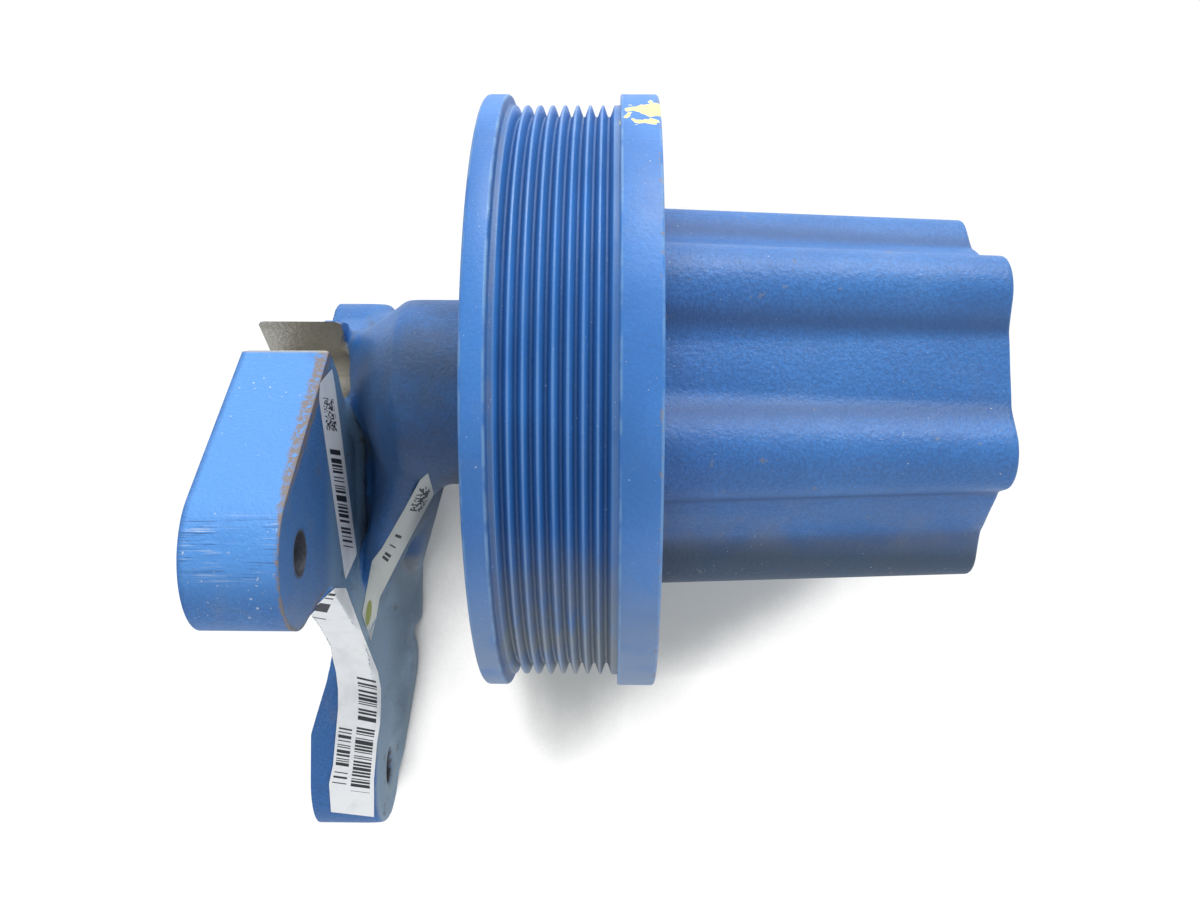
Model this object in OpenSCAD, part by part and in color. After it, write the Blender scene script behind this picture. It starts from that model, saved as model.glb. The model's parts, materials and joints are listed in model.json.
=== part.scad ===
// Fan drive hub on a cast support bracket.
// +X runs along the hub axis towards the nose, and x = 0 is the front foot's mounting face.
// The hub axis passes through the origin. +Y is up the bracket, +Z is away from its rear edge.
// Profiles across the axis are drawn in (depth, up): depth is -Z and up is Y.

/* [Pulley] */
// Outside diameter of the pulley's flange and front band
pulley_d = 174; // [168:1:182]
// Diameter over the rib tips
rib_tip_d = 168; // [160:1:172]
// Distance from the mounting plane to the pulley's rear face
pulley_setback = 72.8; // [68:0.2:80]
// Number of belt grooves
groove_count = 8; // [5:1:10]
// Distance from groove to groove
groove_pitch = 3.56; // [3:0.02:4]
// Depth of a belt groove
groove_depth = 3.2; // [2:0.1:3.6]
// Width of the flat at the bottom of a groove
groove_flat = 0.7; // [0.4:0.1:1.2]
// Width of the flat on the tip of a rib
rib_flat = 0.6; // [0.3:0.1:1.2]
// Width of the rear flange
flange_w = 6.3; // [4:0.1:9]
// Width of the plain land between the grooves and the flange or band
groove_land = 1.4; // [1:0.1:3]
// Width of the plain front band
band_w = 10.6; // [6:0.2:16]
// Chamfer on the rear flange's corners
flange_chamfer = 1.2; // [0.4:0.1:2]
// Wall of the rim under the grooves
rim_wall = 8.5; // [5:0.5:12]
// Thickness of the web between the rim and the nose
web_t = 12; // [8:1:16]
// Depth of the recess in the web's front face
web_recess = 3; // [1:0.5:6]

/* [Nose] */
// Length of the nose in front of the pulley
nose_len = 94; // [88:0.1:110]
// Radius of the nose's core at its front end
core_r = 42.8; // [42:0.1:46]
// Pitch circle diameter of the lobes and of their tapped holes
lobe_pcd = 87; // [84:0.5:92]
// Radius of a lobe at the nose's front end
lobe_r = 10.5; // [9.5:0.1:12.5]
// Growth of the nose's radius from its front end to the pulley
nose_draft = 3.3; // [0.5:0.1:4]
// Turn of the first lobe from straight up towards the camera side
lobe_turn = -6.5; // [-30:0.5:30]
// Size of the soft hollow between a lobe and the core
lobe_blend = 6; // [3:0.5:8]
// Radius of the fillet where the nose meets the pulley
root_fillet = 4; // [2:0.5:6]
// Rounding of the nose's front edge
nose_round = 1.4; // [0.8:0.1:2.5]
// Radius of the tapped holes in the lobes
tap_r = 4.25; // [3:0.05:4.5]
// Depth of the tapped holes
tap_depth = 26; // [16:1:30]
// Step out from the end cap's seat to the pilot bore in the nose's mouth
pilot_step = 3; // [1.5:0.1:4]
// Depth of the pilot bore
pilot_depth = 5.3; // [3:0.1:8]

/* [Bearings] */
// Bore diameter of the rear bearing
rear_bore_d = 35; // [32:0.5:38]
// Outside diameter of the rear bearing
rear_od = 80; // [77:0.5:81]
// Width of the rear bearing
rear_w = 21; // [19:0.5:24]
// Diameter of the rear bearing's balls
rear_ball_d = 13.5; // [12:0.1:14]
// Number of balls in the rear bearing
rear_balls = 8; // [6:1:8]
// Bore diameter of the front bearing
front_bore_d = 30; // [28:0.5:31]
// Outside diameter of the front bearing
front_od = 62; // [60:0.5:63]
// Width of the front bearing
front_w = 16; // [15:0.5:18]
// Diameter of the front bearing's balls
front_ball_d = 9.5; // [8.5:0.1:10]
// Number of balls in the front bearing
front_balls = 9; // [7:1:9]
// Distance between the two bearings' facing sides
bearing_gap = 53; // [45:0.5:54]
// Thickness of a bearing shield
shield_t = 1; // [0.6:0.1:1.4]

/* [Seal and rings] */
// Radius of the wear sleeve that the seal lip runs on
sleeve_r = 27.6; // [27:0.1:29]
// Wall of the wear sleeve
sleeve_wall = 1.2; // [0.8:0.1:2]
// Width of the rear shaft seal
seal_w = 8; // [6:0.5:9]
// Thickness of the seal's steel case
case_t = 1.5; // [1:0.1:2]
// Thickness of the seal's rubber
lip_t = 1.8; // [1.4:0.1:2]
// Height of the seal lip over the wear sleeve
lip_h = 6; // [5:0.1:7]
// Radius of the garter spring's wire
garter_r = 0.8; // [0.5:0.1:0.9]
// Thickness of the rear circlip
rear_clip_t = 2.5; // [1.5:0.1:3]
// Thickness of the front circlip
front_clip_t = 2; // [1.2:0.1:2.5]
// Depth of a circlip's groove in the hub
clip_groove = 1.8; // [1:0.1:2]
// Radial width of a circlip
clip_w = 5.5; // [4.5:0.1:6]

/* [Spindle] */
// Radius of the shank that is pressed into the barrel
shank_r = 17.5; // [15:0.5:19]
// Length of the shank inside the barrel
shank_len = 32; // [24:1:34]
// Radius of the spindle's threaded end
thread_r = 12.5; // [11:0.5:13]
// Step from the rear bearing's inner race down to the shoulder behind it
race_lip = 0.4; // [0.2:0.1:1]
// Length of the threaded end
thread_len = 11; // [9.5:0.5:12]
// Thickness of the lock washer
washer_t = 1.25; // [1:0.05:2]
// Outside radius of the lock nut
nut_r = 19; // [17:0.5:22]
// Thickness of the lock nut
nut_t = 7; // [6:0.5:8]

/* [End cap] */
// Step out from the front bearing's seat to the end cap's seat
cap_step = 2; // [1:0.1:3]
// Height of the end cap's rim
cap_h = 8; // [5:0.5:9]
// Thickness of the end cap's sheet
cap_t = 1.8; // [1:0.1:2.5]

/* [Bracket] */
// Thickness of the front foot
foot_t = 25.5; // [22:0.5:30]
// Step of the lower and rear feet in front of the mounting plane
foot_step = 5; // [0:0.5:6]
// Thickness of the lower and rear feet
rear_foot_t = 24; // [22:0.5:30]
// Thickness of the relieved web between the feet
bracket_web = 11.5; // [9:0.5:16]
// Radius of the front foot
front_foot_r = 20.5; // [18:0.5:23]
// Radius of the lower and rear feet
rear_foot_r = 20; // [18:0.5:20]
// Diameter of the foot holes
foot_hole_d = 12; // [9:0.5:14]
// Width of the bolt slot
slot_w = 15.5; // [12:0.5:17]
// Outside radius of the barrel
barrel_r = 28; // [26:0.5:30]
// Length of the barrel inside the pulley
barrel_inside = 11.2; // [6:0.2:13]
// Height of the rear block's face over the mounting plane
block_x = 37.5; // [34:0.5:42]

/* [Hidden] */
$fn = 96;
clear = 0.05;
air = 1;

// Stations along the axis, from the mounting plane to the nose
pulley_r = pulley_d / 2;
rib_r = rib_tip_d / 2;
pulley_w = flange_w + 2 * groove_land + groove_count * groove_pitch + band_w;
pulley_front = pulley_setback + pulley_w;
nose_x = pulley_front + nose_len;
barrel_x = pulley_setback + barrel_inside;
seal_x = barrel_x + air;
rear_clip_x = seal_x + seal_w + 0.4;
rear_x = rear_clip_x + rear_clip_t + clear;
front_x = rear_x + rear_w + bearing_gap;
front_end = front_x + front_w;
front_clip_x = front_end + clear;
washer_x = front_end;
nut_x = washer_x + washer_t;
spindle_end = front_end + thread_len;
cap_x = nose_x - pilot_depth - cap_h;
web_x = pulley_front - web_recess - web_t;

// Radii
rim_inner_r = rib_r - groove_depth - rim_wall;
boss_wall = 9;
boss_r = rear_od / 2 + boss_wall;
cavity_r = rear_od / 2 - 6;
shoulder_r = front_od / 2 - 4;
cap_r = front_od / 2 + cap_step;
pilot_r = cap_r + pilot_step;
lobe_c = lobe_pcd / 2;
slot_r = slot_w / 2;

// Bracket places across the axis, as (depth, up)
front_foot = [-45, -45.5];
lower_foot = [pulley_r - rear_foot_r, -131.6];
rear_foot = [pulley_r - rear_foot_r, 15];
rear_edge = pulley_r;

// Heights along the leg and its rear rail
leg_end = lower_foot[1] - 1.4 * rear_foot_r;
rail_end = lower_foot[1] - 0.4 * rear_foot_r;
pad_top = lower_foot[1] + 0.78 * rear_foot_r;
block_low = -82;
block_high = -46;
leg_top = block_low - 2;
rear_pad_r = 14;
rear_pad_h = 5.5;
spot_r = 11;
slot_end = [13, 5];
barrel_back = 46;
slot_dir = 150.6;

// Lays a shape drawn across the axis, or turned about it, along +X
module along_x(x = 0) {
    translate([x, 0, 0]) rotate([0, 90, 0]) children();
}

// A ring about the axis from x0 to x1
module ring(x0, x1, outer, inner) {
    along_x(x0) difference() {
        cylinder(h = x1 - x0, r = outer);
        translate([0, 0, -1]) cylinder(h = x1 - x0 + 2, r = inner);
    }
}

// A body turned about the axis from a profile of (x, radius) points
module turned(profile) {
    along_x() rotate_extrude() polygon([for (p = profile) [p[1], p[0]]]);
}

// Points of an arc about a centre
function arc(c, r, a0, a1, n) =
    [for (i = [0 : n]) let (a = a0 + (a1 - a0) * i / n) c + r * [cos(a), sin(a)]];

// Soft maximum of two radii
function soft_max(a, b, k) = let (h = max(k - abs(a - b), 0) / k) max(a, b) + h * h * k / 4;

// Radius of the nose at an angle from the nearest lobe's middle, grown by g
function lobed_r(turn, g) =
    let (c = lobe_c * cos(turn), s = lobe_c * sin(turn), b = lobe_r + g)
    soft_max(c + sqrt(max(b * b - s * s, 0)), core_r + g, lobe_blend);

// The bracket's outline, seen along the axis
module plate_outline() {
    translate(front_foot) circle(r = front_foot_r);
    translate(lower_foot) circle(r = rear_foot_r);
    translate(rear_foot) circle(r = rear_foot_r);
    upper = front_foot + front_foot_r * [-0.684, 0.729];
    under = front_foot + front_foot_r * [0.17, -0.985];
    leg_front = lower_foot[0] - rear_foot_r;
    polygon(concat(
        [[-14.8, 10.7], upper, front_foot, under, [-24, -60.5]],
        arc([-12, -67.5], 9.5, 110, 35, 5),
        [[24, -76], [44, -88], [leg_front + 1, -98], [leg_front, -110], [leg_front, lower_foot[1]]],
        [lower_foot, [rear_edge, lower_foot[1]], [rear_edge, rear_foot[1]], rear_foot],
        [rear_foot + rear_foot_r * [-0.75, 0.66], [26, 20], [12, 22], [-1, 21.3]]
    ));
}

// The bolt slot, open towards the upper front
module slot_outline() {
    reach = 45;
    translate(slot_end) {
        circle(r = slot_r);
        rotate(slot_dir) translate([0, 0.02 - slot_r]) square([reach, slot_w - 0.04]);
    }
}

// The front arm keeps the foot's full thickness
module front_arm() {
    linear_extrude(foot_t) intersection() {
        plate_outline();
        polygon([[-80, -80], [-4, -80], [34, -14], [34, 45], [-80, 45]]);
    }
}

// The lower leg swells from the relieved web to the lower foot's pad
module lower_leg() {
    pad = foot_step + rear_foot_t;
    web_back = foot_t - bracket_web;
    intersection() {
        linear_extrude(pad) plate_outline();
        rotate([0, -90, 0]) linear_extrude(4 * pulley_r, center = true) polygon([
            [web_back, leg_top], [foot_step, pad_top], [foot_step, leg_end], [pad, leg_end],
            [pad, pad_top + 4], [foot_t, leg_top - 8], [foot_t, leg_top]
        ]);
    }
}

// Rear stiffening edge with the square block above it
module rear_rail() {
    pad = foot_step + rear_foot_t;
    rail_t = 34;
    slope = [[0, 0], [0, foot_t], [rail_t - 8, block_x + 1], [rail_t, block_x + 1], [rail_t, 0]];
    intersection() {
        translate([rear_edge - rail_t, -2 * block_low, 0]) rotate([90, 0, 0])
            linear_extrude(2 * pulley_d) polygon(slope);
        translate([rear_edge, 0, 0]) rotate([0, -90, 0]) linear_extrude(rail_t) polygon([
            [pad - 1, rail_end], [pad + 1.5, lower_foot[1] - 1], [pad + 4.2, pad_top],
            [block_x - 1.8, block_low - 18], [block_x - 1.5, block_low - 10],
            [block_x - 4, block_low - 1], [block_x, block_low], [block_x, block_high],
            [pad, block_high + 16], [foot_t - bracket_web, block_high + 16],
            [foot_t - bracket_web, rail_end]
        ]);
    }
}

module disc(x, r, t, at) {
    along_x(x) translate(at) cylinder(h = t, r = r, $fn = 32);
}

// The neck swings back from the barrel's end to the plate, clear of the bolt slot
module neck() {
    back = foot_t - 4;
    hull() {
        disc(barrel_back + 0.3, barrel_r - 0.6, 3, [0, 0]);
        disc(barrel_back - 6, barrel_r - 5, 3, [3, -2]);
        disc(foot_t - 2, 9, 4, [24, 9]);
        disc(back, 12, 4, [62, 8]);
    }
    hull() {
        disc(barrel_back + 0.3, barrel_r - 0.6, 3, [0, 0]);
        disc(back, 12, 4, [62, 8]);
        disc(back, 14, 4, [66, -44]);
    }
}

// Gusset from under the barrel down to the leg's front edge
module front_gusset() {
    hull() {
        disc(barrel_back + 1, 18, 8, [3, -9]);
        disc(foot_t - 3, 8, 4, [38, -73]);
    }
}

// Arm from the barrel up to the rear foot
module rear_arm() {
    hull() {
        disc(barrel_back + 1, 14.5, 8, [8, 10]);
        disc(foot_t - 4, 17, 8, rear_foot);
    }
}

// Gusset from the barrel to the rear block
module block_gusset() {
    hull() {
        disc(barrel_back + 1, 19, 10, [6, -6]);
        disc(foot_t - 4, 9, block_x - foot_t + 3, [rear_edge - 12, -58]);
    }
}

module support_bracket() color([0.09, 0.33, 0.62]) {
    difference() {
        union() {
            along_x() front_arm();
            along_x(foot_t - bracket_web) linear_extrude(bracket_web) plate_outline();
            along_x(foot_step) translate(rear_foot) cylinder(h = rear_foot_t, r = rear_pad_r);
            along_x(foot_step + rear_pad_h) translate(rear_foot)
                cylinder(h = rear_foot_t - rear_pad_h, r = rear_foot_r);
            along_x() lower_leg();
            along_x() rear_rail();
            along_x(barrel_back) cylinder(h = barrel_x - barrel_back, r = barrel_r);
            neck();
            front_gusset();
            rear_arm();
            block_gusset();
        }
        along_x() translate([0, 0, -1]) linear_extrude(foot_t + 1) slot_outline();
        along_x(-1) translate(front_foot) cylinder(h = 60, r = foot_hole_d / 2);
        along_x(-1) translate(lower_foot) cylinder(h = 60, r = foot_hole_d / 2);
        along_x(-1) translate(rear_foot) cylinder(h = 60, r = foot_hole_d / 2);
        for (at = [lower_foot, rear_foot])
            along_x(foot_step + rear_foot_t) translate(at) cylinder(h = 12, r = spot_r);
        along_x(barrel_x - shank_len) cylinder(h = shank_len + 1, r = shank_r);
    }
}

module spindle() color([0.62, 0.62, 0.64]) {
    root = barrel_x - shank_len;
    rear_seat = rear_x + rear_w - 0.5;
    sleeve_end = rear_x - 1.5;
    shoulder = (rear_bore_d + rear_od) / 4 - rear_ball_d * 0.3 - race_lip;
    turned([
        [root, 0], [root, shank_r - 1.5], [root + 1.5, shank_r], [barrel_x, shank_r],
        [barrel_x, sleeve_r - sleeve_wall], [sleeve_end, sleeve_r - sleeve_wall],
        [sleeve_end, shoulder], [rear_x, shoulder], [rear_x, rear_bore_d / 2], [rear_seat, rear_bore_d / 2],
        [rear_seat, front_bore_d / 2], [front_end, front_bore_d / 2],
        [front_end, thread_r], [spindle_end - 1, thread_r], [spindle_end, thread_r - 1],
        [spindle_end, 0]
    ]);
}

module wear_sleeve() color([0.75, 0.75, 0.76])
    ring(barrel_x, rear_x - 1.5, sleeve_r, sleeve_r - sleeve_wall);

module seal_case() color([0.35, 0.35, 0.36]) {
    outer = rear_od / 2;
    inner = sleeve_r + (outer - sleeve_r) * 0.28;
    turned([
        [seal_x, inner], [seal_x, outer], [seal_x + seal_w, outer],
        [seal_x + seal_w, outer - case_t], [seal_x + case_t, outer - case_t],
        [seal_x + case_t, inner]
    ]);
}

module seal_lip() color([0.1, 0.1, 0.1]) {
    outer = rear_od / 2 - case_t;
    root = sleeve_r + lip_h;
    lip_x = seal_x + case_t;
    turned([
        [lip_x, sleeve_r + lip_h * 0.2], [lip_x, outer], [lip_x + lip_t, outer],
        [lip_x + lip_t, root], [lip_x + 2.6 * lip_t, sleeve_r + lip_h * 0.7],
        [lip_x + 2.6 * lip_t, sleeve_r + lip_h * 0.3], [lip_x + 1.9 * lip_t, sleeve_r + clear],
        [lip_x + 1.6 * lip_t, sleeve_r + clear]
    ]);
}

module garter_spring() color([0.7, 0.7, 0.7]) {
    along_x(seal_x + case_t + 2 * lip_t) rotate_extrude()
        translate([sleeve_r + lip_h, 0]) circle(r = garter_r, $fn = 24);
}

// An open spring ring with two eyes, in its groove in the hub
module snap_ring(x, t, bore_r) {
    outer = bore_r + clip_groove - 0.2;
    eye_r = 2.2;
    eye_at = bore_r - eye_r - 0.4;
    along_x(x) difference() {
        union() {
            difference() {
                cylinder(h = t, r = outer);
                translate([0, 0, -1]) cylinder(h = t + 2, r = outer - clip_w + 1.2);
                translate([0, 0, -1]) linear_extrude(t + 2)
                    polygon([[0, 0], 60 * [cos(80), sin(80)], 60 * [cos(100), sin(100)]]);
            }
            for (side = [-1, 1]) rotate(90 + 14 * side) translate([eye_at, 0, 0])
                cylinder(h = t, r = eye_r);
        }
        for (side = [-1, 1]) rotate(90 + 14 * side) translate([eye_at, 0, -1])
            cylinder(h = t + 2, r = 1);
    }
}

module rear_snap_ring() color([0.3, 0.3, 0.32]) snap_ring(rear_clip_x, rear_clip_t, rear_od / 2);

module front_snap_ring() color([0.3, 0.3, 0.32])
    snap_ring(front_clip_x, front_clip_t, front_od / 2);

// Ball bearing parts: x is the rear side, b the bore, d the outside, w the width
module race_groove(x, w, pitch_r, ball_d) {
    along_x(x + w / 2) rotate_extrude() translate([pitch_r, 0]) circle(d = ball_d + 2 * clear);
}

module bearing_outer(x, b, d, w, ball_d) {
    pitch_r = (b + d) / 4;
    inner = pitch_r + ball_d * 0.3;
    seat = (d / 2 - inner) / 2;
    difference() {
        ring(x, x + w, d / 2, inner);
        race_groove(x, w, pitch_r, ball_d);
        ring(x - 1, x + shield_t + 0.3, inner + seat, 1);
        ring(x + w - shield_t - 0.3, x + w + 1, inner + seat, 1);
    }
}

module bearing_inner(x, b, d, w, ball_d) {
    pitch_r = (b + d) / 4;
    difference() {
        ring(x, x + w, pitch_r - ball_d * 0.3, b / 2);
        race_groove(x, w, pitch_r, ball_d);
    }
}

module bearing_balls(x, b, d, w, ball_d, n) {
    for (i = [0 : n - 1]) along_x(x + w / 2) rotate(360 * i / n)
        translate([(b + d) / 4, 0, 0]) sphere(d = ball_d);
}

module bearing_cage(x, b, d, w, ball_d, n) {
    pitch_r = (b + d) / 4;
    half = ball_d * 0.18;
    cage_w = ball_d * 1.22;
    difference() {
        ring(x + (w - cage_w) / 2, x + (w + cage_w) / 2, pitch_r + half, pitch_r - half);
        for (i = [0 : n - 1]) along_x(x + w / 2) rotate(360 * i / n)
            translate([pitch_r - 2 * half, 0, 0]) rotate([0, 90, 0])
                cylinder(h = 4 * half, d = ball_d + 0.3);
    }
}

module bearing_shields(x, b, d, w, ball_d) {
    pitch_r = (b + d) / 4;
    inner = pitch_r + ball_d * 0.3;
    outer = inner + (d / 2 - inner) / 2;
    hole = pitch_r - ball_d * 0.3 + 0.3;
    ring(x + 0.3, x + 0.3 + shield_t, outer, hole);
    ring(x + w - 0.3 - shield_t, x + w - 0.3, outer, hole);
}

module rear_bearing_outer() color([0.7, 0.7, 0.72])
    bearing_outer(rear_x, rear_bore_d, rear_od, rear_w, rear_ball_d);
module rear_bearing_inner() color([0.7, 0.7, 0.72])
    bearing_inner(rear_x, rear_bore_d, rear_od, rear_w, rear_ball_d);
module rear_bearing_balls() color([0.8, 0.8, 0.82])
    bearing_balls(rear_x, rear_bore_d, rear_od, rear_w, rear_ball_d, rear_balls);
module rear_bearing_cage() color([0.6, 0.5, 0.3])
    bearing_cage(rear_x, rear_bore_d, rear_od, rear_w, rear_ball_d, rear_balls);
module rear_bearing_shields() color([0.5, 0.5, 0.5])
    bearing_shields(rear_x, rear_bore_d, rear_od, rear_w, rear_ball_d);
module front_bearing_outer() color([0.7, 0.7, 0.72])
    bearing_outer(front_x, front_bore_d, front_od, front_w, front_ball_d);
module front_bearing_inner() color([0.7, 0.7, 0.72])
    bearing_inner(front_x, front_bore_d, front_od, front_w, front_ball_d);
module front_bearing_balls() color([0.8, 0.8, 0.82])
    bearing_balls(front_x, front_bore_d, front_od, front_w, front_ball_d, front_balls);
module front_bearing_cage() color([0.6, 0.5, 0.3])
    bearing_cage(front_x, front_bore_d, front_od, front_w, front_ball_d, front_balls);
module front_bearing_shields() color([0.5, 0.5, 0.5])
    bearing_shields(front_x, front_bore_d, front_od, front_w, front_ball_d);

module bearing_spacer() color([0.55, 0.55, 0.57])
    ring(rear_x + rear_w, front_x, rear_bore_d / 2 + 3.5, front_bore_d / 2 + 0.1);

module lock_washer() color([0.6, 0.6, 0.6]) along_x(washer_x) difference() {
    union() {
        cylinder(h = washer_t, r = nut_r - 1.5);
        for (i = [0 : 10]) rotate(360 * i / 11) translate([0, -2, 0])
            cube([nut_r + 1.5, 4, washer_t]);
    }
    translate([0, 0, -1]) cylinder(h = washer_t + 2, r = thread_r + 0.1);
}

module lock_nut() color([0.4, 0.4, 0.42]) along_x(nut_x) difference() {
    cylinder(h = nut_t, r = nut_r);
    translate([0, 0, -1]) cylinder(h = nut_t + 2, r = thread_r);
    for (i = [0 : 3]) rotate(90 * i) translate([nut_r - 2, -2.5, -1])
        cube([5, 5, nut_t + 2]);
}

module end_cap() color([0.45, 0.46, 0.48]) {
    mouth = cap_x + cap_h;
    turned([
        [cap_x, 0], [cap_x, cap_r - 2], [cap_x + 2, cap_r], [mouth, cap_r],
        [mouth, cap_r - cap_t], [cap_x + cap_t + 1, cap_r - cap_t],
        [cap_x + cap_t, cap_r - cap_t - 1], [cap_x + cap_t, 0]
    ]);
}

// The nose is lofted through lobed rings: [x, growth of the outline]
module nose_loft() {
    per_lobe = 20;
    count = 6 * per_lobe;
    base = pulley_front - web_recess - 0.2;
    draft_at_root = nose_draft * (1 - (root_fillet - web_recess) / nose_len);
    fillet = [for (a = [0 : 30 : 90])
        [base + root_fillet * (1 - cos(a)), draft_at_root + root_fillet * (1 - sin(a))]];
    rounding = [for (a = [0 : 30 : 60])
        [nose_x - nose_round * (1 - sin(a)), nose_round * (cos(a) - 1)]];
    beyond = [nose_x + nose_round / 2, -2.2 * nose_round];
    rings = concat([[base - 2, nose_draft + root_fillet]], fillet, rounding, [beyond]);
    points = [for (s = rings, i = [0 : count - 1])
        let (a = 360 * i / count, turn = ((a + 30) % 60) - 30, r = lobed_r(turn, s[1]))
        [r * cos(a), r * sin(a), s[0]]];
    sides = [for (k = [0 : len(rings) - 2], i = [0 : count - 1])
        let (j = (i + 1) % count) [k * count + i, (k + 1) * count + i, (k + 1) * count + j,
            k * count + j]];
    rear = [for (i = [0 : count - 1]) i];
    front = [for (i = [count - 1 : -1 : 0]) (len(rings) - 1) * count + i];
    rotate(90 + lobe_turn) polyhedron(points, concat(sides, [rear, front]), convexity = 4);
}

// Rim with its belt grooves, as a turned profile
module rim() {
    half_tip = rib_flat / 2;
    half_flat = groove_flat / 2;
    first = pulley_setback + flange_w + groove_land;
    band = pulley_front - band_w;
    grooves = [for (i = [0 : groove_count - 1], p = [
        [-groove_pitch / 2 + half_tip, rib_r], [-half_flat, rib_r - groove_depth],
        [half_flat, rib_r - groove_depth], [groove_pitch / 2 - half_tip, rib_r]
    ]) [first + groove_pitch * (i + 0.5) + p[0], p[1]]];
    turned(concat(
        [[pulley_setback, rim_inner_r], [pulley_setback, pulley_r - flange_chamfer],
         [pulley_setback + flange_chamfer, pulley_r],
         [first - groove_land - flange_chamfer / 2, pulley_r], [first - groove_land, pulley_r - 0.6],
         [first - groove_land + 0.4, rib_r]],
        grooves,
        [[band, rib_r], [band, pulley_r], [pulley_front, pulley_r], [pulley_front, rim_inner_r]]
    ));
}

module pulley_hub() color([0.07, 0.27, 0.55]) {
    seal_bore_x = barrel_x;
    difference() {
        union() {
            rim();
            ring(web_x, pulley_front - web_recess, rim_inner_r + 1, core_r - 4);
            ring(seal_bore_x, pulley_front, boss_r, cavity_r);
            along_x() nose_loft();
        }
        along_x(seal_bore_x - 1) cylinder(h = rear_x + rear_w - seal_bore_x + 1, r = rear_od / 2);
        ring(rear_clip_x - clear, rear_clip_x + rear_clip_t + clear,
            rear_od / 2 + clip_groove, rear_od / 2 - 1);
        along_x(rear_x) cylinder(h = front_x - 6 - rear_x, r = cavity_r);
        along_x(rear_x) cylinder(h = nose_x - rear_x, r = shoulder_r);
        along_x(front_x) cylinder(h = nose_x - front_x, r = front_od / 2);
        ring(front_clip_x - clear, front_clip_x + front_clip_t + clear,
            front_od / 2 + clip_groove, front_od / 2 - 1);
        along_x(cap_x - 1) cylinder(h = cap_h + 2, r = cap_r);
        along_x(nose_x - pilot_depth) cylinder(h = pilot_depth + 1, r = pilot_r);
        along_x(nose_x) cylinder(h = 2 * nose_round, r = lobe_c + 2 * lobe_r);
        for (k = [0 : 5]) along_x(nose_x - tap_depth) rotate(90 + lobe_turn + 60 * k)
            translate([lobe_c, 0, 0]) cylinder(h = tap_depth + 1, r = tap_r, $fn = 48);
    }
}

support_bracket();
spindle();
wear_sleeve();
seal_case();
seal_lip();
garter_spring();
rear_snap_ring();
rear_bearing_outer();
rear_bearing_inner();
rear_bearing_balls();
rear_bearing_cage();
rear_bearing_shields();
bearing_spacer();
front_bearing_outer();
front_bearing_inner();
front_bearing_balls();
front_bearing_cage();
front_bearing_shields();
front_snap_ring();
lock_washer();
lock_nut();
end_cap();
pulley_hub();
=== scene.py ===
# %% [markdown]
# # A fan drive hub on its support bracket
# The object is a blue painted iron casting: a footed bracket that bolts to an engine, and a belt
# pulley with a long fluted nose that turns on it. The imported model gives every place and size.
# This file adds what the eye sees: cast skins, soft fillets, paint, bare metal, rust and labels.
# The hub axis is x, y points up in the picture, and z points to the eye.

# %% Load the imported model
import json
import math
import bmesh
import bpy
from mathutils import Matrix, Vector
from mathutils.kdtree import KDTree
from mathutils.bvhtree import BVHTree


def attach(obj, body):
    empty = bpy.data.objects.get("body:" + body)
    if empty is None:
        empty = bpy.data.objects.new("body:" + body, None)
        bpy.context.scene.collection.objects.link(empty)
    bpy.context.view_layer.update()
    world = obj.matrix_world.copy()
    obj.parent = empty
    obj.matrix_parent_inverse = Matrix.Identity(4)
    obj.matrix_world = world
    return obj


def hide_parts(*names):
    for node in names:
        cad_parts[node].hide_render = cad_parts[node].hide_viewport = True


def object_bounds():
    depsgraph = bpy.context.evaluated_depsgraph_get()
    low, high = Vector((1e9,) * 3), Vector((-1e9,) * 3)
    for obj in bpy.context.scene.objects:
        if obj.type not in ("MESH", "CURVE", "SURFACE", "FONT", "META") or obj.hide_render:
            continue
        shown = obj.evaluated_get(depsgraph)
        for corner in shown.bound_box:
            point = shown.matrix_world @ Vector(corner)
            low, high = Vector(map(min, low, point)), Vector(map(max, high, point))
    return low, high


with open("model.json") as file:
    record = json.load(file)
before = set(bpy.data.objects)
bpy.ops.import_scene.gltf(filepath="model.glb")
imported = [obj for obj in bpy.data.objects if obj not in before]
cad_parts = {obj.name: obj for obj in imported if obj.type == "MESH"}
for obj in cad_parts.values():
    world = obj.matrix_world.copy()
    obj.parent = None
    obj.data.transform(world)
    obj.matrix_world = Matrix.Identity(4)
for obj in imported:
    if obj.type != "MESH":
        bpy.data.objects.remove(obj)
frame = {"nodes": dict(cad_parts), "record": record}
cad_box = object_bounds()
MM = 0.001

# %% [markdown]
# ## Camera
# The photograph looks nearly straight down at the part on a table. The belt grooves' standard
# pitch, the rims and the nose's outline gave the eye's place, its small turns and its field of
# view by least squares. A camera object looks along its own -Z with +Y up, so its matrix is built
# from three directions instead of angles.

# %% Camera over the table
PHOTO_W, PHOTO_H = 1200, 900
FOCAL_PX = 1179.8
SENSOR_MM = 36
EYE = Vector((109.574, -17.573, 358.732)) * MM
YAW, PITCH, ROLL = (math.radians(turn) for turn in (-0.762, 0.040, 0.322))
forward = Vector((math.sin(YAW) * math.cos(PITCH), math.sin(PITCH), -math.cos(YAW) * math.cos(PITCH)))
level = Vector((math.cos(YAW), 0, math.sin(YAW)))
rise = level.cross(forward)
eye_right = level * math.cos(ROLL) + rise * math.sin(ROLL)
eye_up = rise * math.cos(ROLL) - level * math.sin(ROLL)
eye_axes = Matrix((eye_right, eye_up, -forward)).transposed()
camera_data = bpy.data.cameras.new("camera")
camera_data.sensor_width = SENSOR_MM
camera_data.lens = SENSOR_MM * FOCAL_PX / PHOTO_W
camera_data.clip_start = 0.01
camera = bpy.data.objects.new("camera", camera_data)
camera.matrix_world = Matrix.Translation(EYE) @ eye_axes.to_4x4()
bpy.context.scene.collection.objects.link(camera)
bpy.context.scene.camera = camera
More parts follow.
